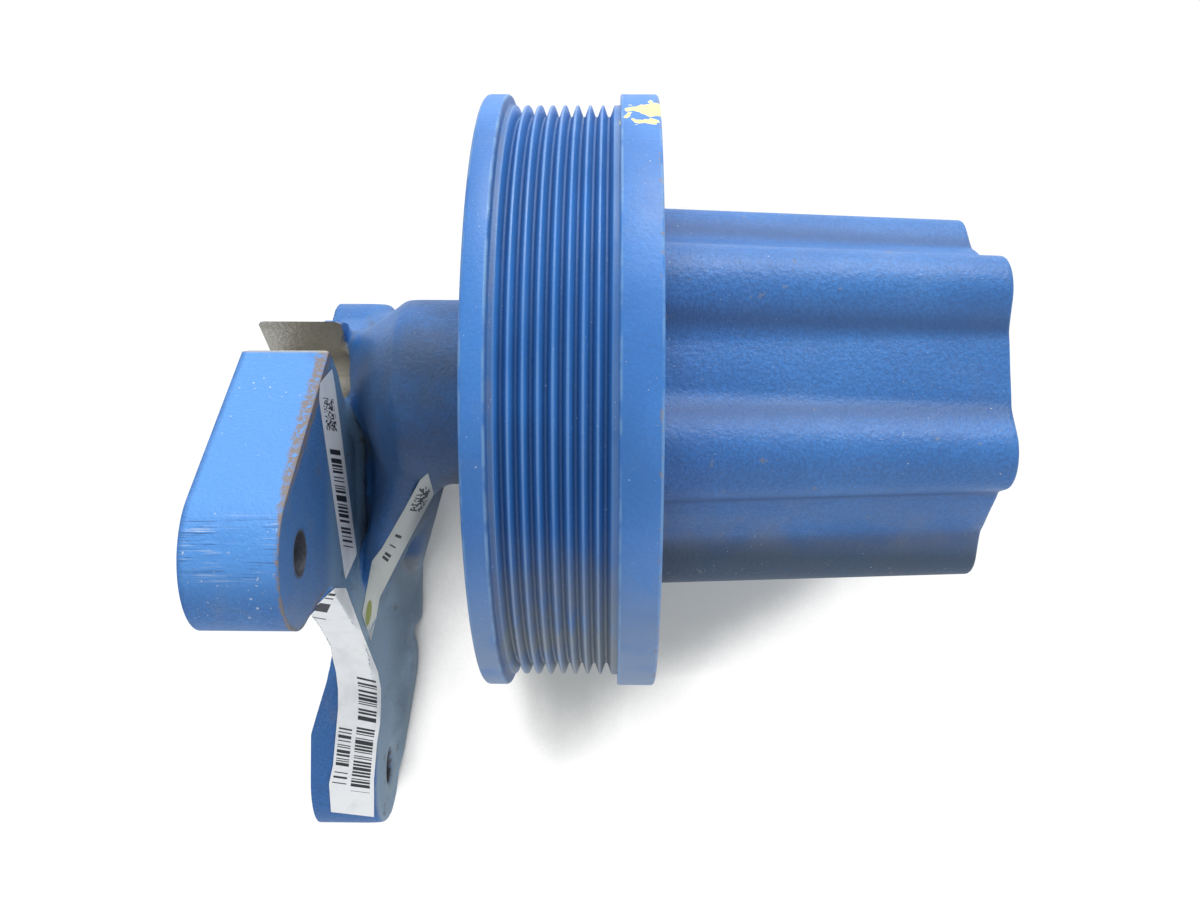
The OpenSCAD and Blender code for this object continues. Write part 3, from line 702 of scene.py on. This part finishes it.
shoulder = [(169.95, 31), (169.95, 27), (163.95, 27), (163.95, 34), (root_x - SUNK, 34)]
bores = pilot + cap_seat + clip_groove + shoulder
print("rings", len(stations) + len(bores))


# %% Nose from one circle
def shape_ring(verts, x, radius_of):
    """Moves a ring of vertices to a station, each along its own radius."""
    for vert in verts:
        turn = math.atan2(vert.co.z, vert.co.y) - math.radians(LOBE_TURN)
        vert.co = Vector((x * MM, *(Vector(vert.co.yz).normalized() * radius_of(turn) * MM)))


def extrude_ring(bm, edges, x, radius_of):
    """Extrudes a ring of edges to a station, and gives the new edges."""
    made = bmesh.ops.extrude_edge_only(bm, edges=edges)["geom"]
    shape_ring([part for part in made if isinstance(part, bmesh.types.BMVert)], x, radius_of)
    return [part for part in made if isinstance(part, bmesh.types.BMEdge)]


TO_AXIS = Matrix.Rotation(math.radians(90), 4, "Y")
bm = bmesh.new()
ring = bmesh.ops.create_circle(bm, segments=360, radius=LOBE_C * MM, matrix=TO_AXIS)["verts"]
first_ring = edges = bm.edges[:]
shape_ring(ring, stations[0][0], lambda turn: nose_radius(turn, stations[0][1]))
for x, growth in stations[1:]:
    edges = extrude_ring(bm, edges, x, lambda turn: nose_radius(turn, growth))
for x, radius in bores:
    edges = extrude_ring(bm, edges, x, lambda turn: radius)
bmesh.ops.bridge_loops(bm, edges=first_ring + edges)
bmesh.ops.recalc_face_normals(bm, faces=bm.faces)
open_edges = sum(1 for edge in bm.edges if not edge.is_manifold)
nose = mesh_object("fluted_nose", bm, nose_paint)
print("nose", len(nose.data.vertices), "vertices", open_edges, "open edges")


# %% Tapped holes in the lobes
def bake(obj):
    """Replaces an object's mesh by the result of its modifiers."""
    result = bpy.data.meshes.new_from_object(obj.evaluated_get(bpy.context.evaluated_depsgraph_get()))
    obj.modifiers.clear()
    obj.data = result


TAP_R, TAP_DEEP, TAP_OVER = 4.25, 26, 4
bm = bmesh.new()
for lobe in range(LOBES):
    turn = math.radians(LOBE_TURN + 60 * lobe)
    middle = NOSE_END - (TAP_DEEP - TAP_OVER) / 2
    place = Vector((middle, LOBE_C * math.cos(turn), LOBE_C * math.sin(turn))) * MM
    bmesh.ops.create_cone(bm, cap_ends=True, segments=48, radius1=TAP_R * MM, radius2=TAP_R * MM,
                          depth=(TAP_DEEP + TAP_OVER) * MM, matrix=Matrix.Translation(place) @ TO_AXIS)
drill = mesh_object("drill", bm)
holes = nose.modifiers.new("holes", "BOOLEAN")
holes.operation, holes.solver, holes.object = "DIFFERENCE", "EXACT", drill
bake(nose)
bpy.data.objects.remove(drill)
print("drilled nose", len(nose.data.vertices), "vertices")


# %% Folds and hole walls of the nose
def store(obj, name, values, domain="POINT"):
    """Keeps one number for each vertex or face as an attribute that a material reads."""
    obj.data.attributes.new(name, "FLOAT", domain).data.foreach_set("value", values)


def hole_wall(co):
    """1 on the wall of a lobe's tapped hole."""
    turn = from_lobe(math.atan2(co.z, co.y) - math.radians(LOBE_TURN))
    reach = co.yz.length
    off_axis = math.hypot(reach * math.cos(turn) - LOBE_C * MM, reach * math.sin(turn))
    return float(off_axis < (TAP_R + 0.05) * MM and co.x > (NOSE_END - TAP_DEEP - 1) * MM)


CREASE_SHADE_AT, CREASE_SHADE_WIDE = 15.5, 3.2


def crease_shade(co):
    """1 in the hollows on both sides of each lobe, where the paint is darkened as painted shade."""
    turn = math.degrees(from_lobe(math.atan2(co.z, co.y) - math.radians(LOBE_TURN)))
    return math.exp(-((abs(turn) - CREASE_SHADE_AT) / CREASE_SHADE_WIDE) ** 2)


corners = nose.data.vertices
in_holes = [min(hole_wall(corners[index].co) for index in face.vertices) for face in nose.data.polygons]
store(nose, "bare", in_holes, "FACE")
store(nose, "crease_shade", [crease_shade(vert.co) for vert in corners])
finish_piece(nose, "pulley_hub")
print("faces in holes", int(sum(in_holes)))

# %% [markdown]
# ## The cast bracket
# A sand casting has a fillet wherever two walls meet, and only its seats, slot, holes and the
# spindle's bore are sharp, because they are machined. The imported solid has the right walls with
# plain corners. A voxel remesh gives it an even skin. Near the machined faces the skin is laid
# back on the solid, with its corners on the solid's edges, and hardly smoothed. Elsewhere it is
# smoothed many times. A last, longer smoothing may only push outwards, which fills the hollows
# like a moulder's fillet.

# %% Even skin over the solid
VOXEL = 1.15
solid = merged_copy("support_bracket")
walls = BVHTree.FromBMesh(solid)
bracket = mesh_object("cast_bracket", solid.copy(), bracket_paint)
remesh = bracket.modifiers.new("skin", "REMESH")
remesh.mode, remesh.voxel_size, remesh.use_smooth_shade = "VOXEL", VOXEL * MM, True
bake(bracket)
bm = bmesh.new()
bm.from_mesh(bracket.data)
bm.verts.ensure_lookup_table()
print("bracket skin", len(bm.verts), "vertices")


# %% Corners that stay crisp
def tree_of(places):
    """A search tree over a list of places."""
    tree = KDTree(len(places))
    for index, place in enumerate(places):
        tree.insert(place, index)
    tree.balance()
    return tree


FOOT_T = 25.5
CREASE_STEP = 0.3
creases = []
for edge in solid.edges:
    if edge.is_manifold and edge.calc_face_angle(0) > math.radians(40):
        a, b = (vert.co for vert in edge.verts)
        if min(a.x, b.x) < (FOOT_T + 0.1) * MM:
            pieces = max(1, round((b - a).length / (CREASE_STEP * MM)))
            creases += [a.lerp(b, step / pieces) for step in range(pieces + 1)]
crease_tree = tree_of(creases)
cast_tree = tree_of([vert.co for vert in bm.verts if vert.co.x > (FOOT_T + 1.2) * MM])
print("crease points", len(creases))


# %% Lay the machined places on the solid
def ramp(x, low, high):
    """0 below low, 1 above high, and a soft step between."""
    t = min(max((x - low) / (high - low), 0), 1)
    return t * t * (3 - 2 * t)


BORE_FROM, BORE_R = 50, 19.0
SOFT_FROM, SOFT_TO = 1.5, 6
softness, laid = {}, {}
for vert in bm.verts:
    place, _, gap = crease_tree.find(vert.co)
    softness[vert] = 1 - ramp(cast_tree.find(vert.co)[2], SOFT_FROM * MM, SOFT_TO * MM)
    if vert.co.x > BORE_FROM * MM and vert.co.yz.length < BORE_R * MM:
        softness[vert] = 0
    if softness[vert] < 0.6:
        if gap < 0.62 * VOXEL * MM:
            vert.co = place
        else:
            vert.co, side, _, _ = walls.find_nearest(vert.co)
            laid[vert] = (gap, place, side)
for edge in bm.edges:
    a, b = edge.verts
    if a in laid and b in laid and laid[a][2].dot(laid[b][2]) < 0.75:
        nearer = a if laid[a][0] < laid[b][0] else b
        if laid[nearer][0] < 1.5 * VOXEL * MM:
            nearer.co = laid.pop(nearer)[1]
print("laid", len(laid), "vertices")

# %% Soften the cast parts and fill their hollows
ROUNDS, FILLS, FILL_STEPS = 14, 8, 60
LEAST_FILL, PUSH = 0.04, 1.5
ALL_AXES = {"use_axis_x": True, "use_axis_y": True, "use_axis_z": True}
for turn in range(ROUNDS):
    moved = [vert for vert, soft in softness.items() if soft > (turn + 0.5) / ROUNDS]
    bmesh.ops.smooth_vert(bm, verts=moved, factor=0.5, **ALL_AXES)
bm.normal_update()
filling = [vert for vert, soft in softness.items() if soft > 0.05]
print("softened", len(filling), "vertices")
for turn in range(FILLS):
    rounded = {vert: (vert.co.copy(), vert.normal.copy()) for vert in filling}
    for step in range(FILL_STEPS):
        bmesh.ops.smooth_vert(bm, verts=list(rounded), factor=0.5, **ALL_AXES)
    filling = []
    for vert, (place, normal) in rounded.items():
        out = max((vert.co - place).dot(normal), 0)
        if out > LEAST_FILL * MM:
            filling.append(vert)
        vert.co = place + normal * out * min(1, PUSH * softness[vert])
    bmesh.ops.smooth_vert(bm, verts=list(rounded), factor=0.2, **ALL_AXES)
    bm.normal_update()
    print("fill", turn + 1, "moved", len(filling), "vertices")

# %% [markdown]
# ## Where the bracket is bare, rusty, dusty, or in painted shade and light
# The feet lie in planes across the hub axis, so their holes and the slot are given as (z, y) in
# millimetres. Each mask of the paint is one number for each vertex.

# %% Holes, slot and rim
HOLES = [Vector(at) for at in ((45, -45.5), (-67, -131.6), (-67, 15))]
FOOT_HOLE_R, SPOT_R, SPOT_X, REAR_SEAT_X = 6.0, 10.6, 29, 5
SLOT_END, SLOT_HALF, SLOT_TURN = Vector((-13, 5)), 7.75, math.radians(29.4)
slot_way = Vector((math.cos(SLOT_TURN), math.sin(SLOT_TURN)))
RIM_MOST = 9
rim_tree = tree_of([place for place in creases if abs(place.x - FOOT_T * MM) < 0.2 * MM
                    and place.z > 14 * MM and (Vector(place.zy) / MM - HOLES[0]).length > 9])


def off_hole(across):
    """Distance from the middle of the nearest foot hole."""
    return min((across - at).length for at in HOLES)


def bare_metal(x, across, normal):
    """Machined places: spot faces, slot walls and the mounting faces behind the feet."""
    from_end = across - SLOT_END
    beside = abs(from_end.cross(slot_way)) if from_end.dot(slot_way) > 0 else from_end.length
    spot = 0.15 if off_hole(across) < SPOT_R and abs(x - SPOT_X) < 0.4 else 0.0
    seat = 1.0 if normal.x < -0.9 and (x < 0.4 or abs(x - REAR_SEAT_X) < 0.4) else 0.0
    wall = 1.0 if beside < SLOT_HALF + 0.5 and x < FOOT_T - 0.3 else 0.0
    return max(spot, seat, wall)


# %% One number for each vertex
layers = {name: [] for name in ("bare", "rim_gap", "dusty", "hollow", "front_face", "sheltered", "drilled")}
for vert in bm.verts:
    x, y, z = vert.co / MM
    facing = vert.normal.x
    across = Vector((z, y))
    place, wall_normal, _, _ = walls.find_nearest(vert.co)
    layers["bare"].append(bare_metal(x, across, vert.normal))
    layers["rim_gap"].append(min(rim_tree.find(vert.co)[2] / MM, RIM_MOST))
    block = ramp(-z, 48, 56) * ramp(x, 27, 30) * ramp(-y, 36, 44)
    low = ramp(-y, 52, 78) * ramp(x, 20, 25) * ramp(facing, 0.2, 0.7)
    layers["dusty"].append(max(block, 0.9 * low))
    # Fillets, where dirt lies and painted shade darkens the paint.
    layers["hollow"].append(ramp((vert.co - place).dot(wall_normal) / MM, 0.25, 1.6))
    # Walls that face the pulley, for painted fill light and rust.
    behind = ramp(facing, 0.3, 0.8) * ramp(x, 18, 24) * ramp(-y, -20, -5)
    layers["sheltered"].append(behind * (1 - 0.75 * ramp(z, 8, 20)))
    # Walls of the foot holes, for painted shade.
    layers["drilled"].append(float(off_hole(across) < FOOT_HOLE_R + 0.2))
    layers["front_face"].append(float(z > 14 and abs(facing) < 0.35 and 0.3 < x < 25.2))
bm.to_mesh(bracket.data)
bm.free()
solid.free()
for name, values in layers.items():
    store(bracket, name, values)
    print(name, round(sum(values) / len(values), 3))
finish_piece(bracket, "support_bracket", crease=50)
print("bracket", len(bracket.data.vertices), "vertices")

# %% [markdown]
# ## Stickers on the bracket
# Three white paper labels follow the casting's curves. Each is a grid of vertices: every vertex
# is sent from the eye through its place in the photograph until it meets the bracket, and stops
# just short of it. Then the sheet is pulled taut like real paper: where it dips into a fold it is
# drawn forward by up to a millimetre and a half. Cells that would bridge two separate walls are
# cut away. The paper's size in millimetres becomes its UV map, and the print is bars and cells
# that say nothing.

# %% Label paper
INK, STAIN = (0.025, 0.025, 0.03, 1), (0.22, 0.25, 0.05, 1)


def within(s, value, limits):
    """1 where a value lies between two limits."""
    low, high = limits
    return s.math("MULTIPLY", s.math("GREATER_THAN", value, low), s.math("LESS_THAN", value, high))


def label_paper(name, prints, white, dab=None):
    """White paper with blocks of bars or cells at (kind, across, along, pitch) in millimetres."""
    material = node_material(name, Roughness=0.45)
    s = Shader(material)
    split = s.node("ShaderNodeSeparateXYZ")
    s.feed(split.inputs[0], s.node("ShaderNodeUVMap", uv_map="paper").outputs[0])
    across, along = split.outputs[0], split.outputs[1]
    ink = 0.0
    for kind, side, length, pitch in prints:
        inside = s.math("MULTIPLY", within(s, across, side), within(s, along, length))
        cells = s.node("ShaderNodeTexWhiteNoise", noise_dimensions="2D")
        place = s.node("ShaderNodeCombineXYZ")
        column = s.math("FLOOR", s.math("DIVIDE", across, pitch)) if kind == "cells" else length[0]
        s.feed(place.inputs[0], column)
        s.feed(place.inputs[1], s.math("FLOOR", s.math("DIVIDE", along, pitch)))
        s.feed(cells.inputs["Vector"], place.outputs[0])
        dark = s.math("GREATER_THAN", cells.outputs["Value"], 0.5)
        ink = s.math("MAXIMUM", ink, s.math("MULTIPLY", inside, dark))
    paper = s.mix(s.patches(140, 4, 0.45, 0.8), white, darker(white, 0.86))
    if dab:
        middle_a, middle_l, half_a, half_l = dab
        off_a = s.math("POWER", s.math("DIVIDE", s.math("SUBTRACT", across, middle_a), half_a), 2.0)
        off_l = s.math("POWER", s.math("DIVIDE", s.math("SUBTRACT", along, middle_l), half_l), 2.0)
        paper = s.mix(s.band(s.math("ADD", off_a, off_l), 1.2, 0.8), paper, STAIN)
    s.feed(s.principled.inputs["Base Color"], s.mix(ink, paper, INK))
    s.feed(s.principled.inputs["Normal"], s.bump(s.noise(700, 3), 0.06 * MM, 0.5))
    return material


# %% Paper on a casting
def along_line(points, share):
    """The place at a share of a broken line's length."""
    points = [Vector(point) for point in points]
    lengths = [(b - a).length for a, b in zip(points, points[1:])]
    left = share * sum(lengths)
    for a, b, length in zip(points, points[1:], lengths):
        if left <= length:
            return a.lerp(b, left / length)
        left -= length
    return points[-1]


TAUT_ROUNDS, TAUT_MOST, TORN_AT = 50, 1.5, 25


def pulled_taut(hits):
    """The reach of each grid place once the sheet is taut, between the casting and TAUT_MOST."""
    taut = dict(hits)
    for _ in range(TAUT_ROUNDS):
        for column, row in hits:
            keys = ((column - 1, row), (column + 1, row), (column, row - 1), (column, row + 1))
            beside = [taut[key] for key in keys if key in taut]
            own = hits[column, row]
            taut[column, row] = min(own, max(sum(beside) / len(beside), own - TAUT_MOST * MM))
    return taut


def largest_sheet(bm):
    """The biggest set of faces that hang together edge by edge."""
    sheets, left_over = [], set(bm.faces)
    while left_over:
        sheet, waiting = set(), [left_over.pop()]
        while waiting:
            face = waiting.pop()
            sheet.add(face)
            beside = {other for edge in face.edges for other in edge.link_faces} & left_over
            left_over -= beside
            waiting += beside
        sheets.append(sheet)
    return max(sheets, key=len)


# %% Lay a label over the casting
casting = BVHTree.FromPolygons([vert.co for vert in bracket.data.vertices],
                               [face.vertices for face in bracket.data.polygons])
MM_PER_PIXEL = 0.29
LIFT = 0.3


def label(name, material, left, right, columns, rows, width):
    """A paper grid between two edges that are drawn in the photograph's pixels."""
    bm = bmesh.new()
    bmesh.ops.create_grid(bm, x_segments=columns, y_segments=rows, size=1)
    grid = {(round((v.co.x + 1) / 2 * columns), round((v.co.y + 1) / 2 * rows)): v for v in bm.verts}
    rays, hits = {}, {}
    for column, row in grid:
        far_edge = along_line(right, row / rows)
        pixel = along_line(left, row / rows).lerp(far_edge, column / columns)
        reach = casting.ray_cast(EYE, photo_ray(*pixel))[3]
        while reach is None:
            pixel = pixel.lerp(far_edge, 0.015)
            reach = casting.ray_cast(EYE, photo_ray(*pixel))[3]
        rays[column, row] = photo_ray(*pixel)
        hits[column, row] = reach - LIFT * MM
    taut = pulled_taut(hits)
    for key, vert in grid.items():
        vert.co = EYE + rays[key] * taut[key]
    paper = bm.loops.layers.uv.new("paper")
    where = {vert: key for key, vert in grid.items()}
    length = sum((Vector(b) - Vector(a)).length for a, b in zip(left, left[1:])) * MM_PER_PIXEL
    for face in bm.faces:
        for loop in face.loops:
            column, row = where[loop.vert]
            loop[paper].uv = (width * column / columns, length * row / rows)
    depths = {face: [hits[where[vert]] for vert in face.verts] for face in bm.faces}
    torn = [face for face, reaches in depths.items() if max(reaches) - min(reaches) > TORN_AT * MM]
    bmesh.ops.delete(bm, geom=torn, context="FACES")
    whole = largest_sheet(bm)
    bmesh.ops.delete(bm, geom=[face for face in bm.faces if face not in whole], context="FACES")
    bm.normal_update()
    bm.faces.ensure_lookup_table()
    if bm.faces[0].normal.dot(EYE - bm.faces[0].calc_center_median()) < 0:
        bmesh.ops.reverse_faces(bm, faces=bm.faces)
    obj = mesh_object(name, bm, material)
    obj.data.shade_smooth()
    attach(obj, "bracket")
    print(name, len(obj.data.polygons), "cells", len(torn), "torn", round(length, 1), "mm long")


# %% Plate and gusset labels
plate_print = [("cells", (1.3, 5.2), (9, 18.5), 0.42), ("bars", (1.3, 5.2), (24, 53), 0.36)]
label("plate_label", label_paper("plate_label_paper", plate_print, (0.80, 0.82, 0.82, 1)),
      left=[(331, 370), (320, 383), (319, 399), (345, 578)],
      right=[(332, 369), (335, 385), (357, 554), (346, 579)],
      columns=12, rows=60, width=6.5)
gusset_print = [("cells", (1.2, 4.6), (3, 10), 0.38), ("bars", (1.4, 3.2), (17, 25), 0.4)]
label("gusset_label",
      label_paper("gusset_label_paper", gusset_print, (0.50, 0.52, 0.48, 1), dab=(2.4, 39.5, 1.1, 3.2)),
      left=[(420, 480), (405, 508), (382, 548), (372, 561), (365, 598), (362, 614)],
      right=[(428, 473), (434, 494), (405, 548), (380, 597), (375, 624), (371, 641)],
      columns=10, rows=60, width=5.5)

# %% Leg label
leg_print = [("bars", (0.8, 4.9), (46, 64), 0.31), ("bars", (6.2, 11.8), (30, 64), 0.31),
             ("bars", (0.3, 4.5), (2, 12), 0.45)]
label("leg_label", label_paper("leg_label_paper", leg_print, (0.88, 0.88, 0.87, 1)),
      left=[(335, 588), (307, 614), (316, 634), (332, 656), (336, 672), (338, 690), (338, 709), (333, 765),
            (329, 784), (331, 812)],
      right=[(346, 588), (362, 632), (378, 672), (381, 689), (381, 706), (380, 724), (377, 743), (374, 780),
             (374, 817)],
      columns=26, rows=170, width=13)
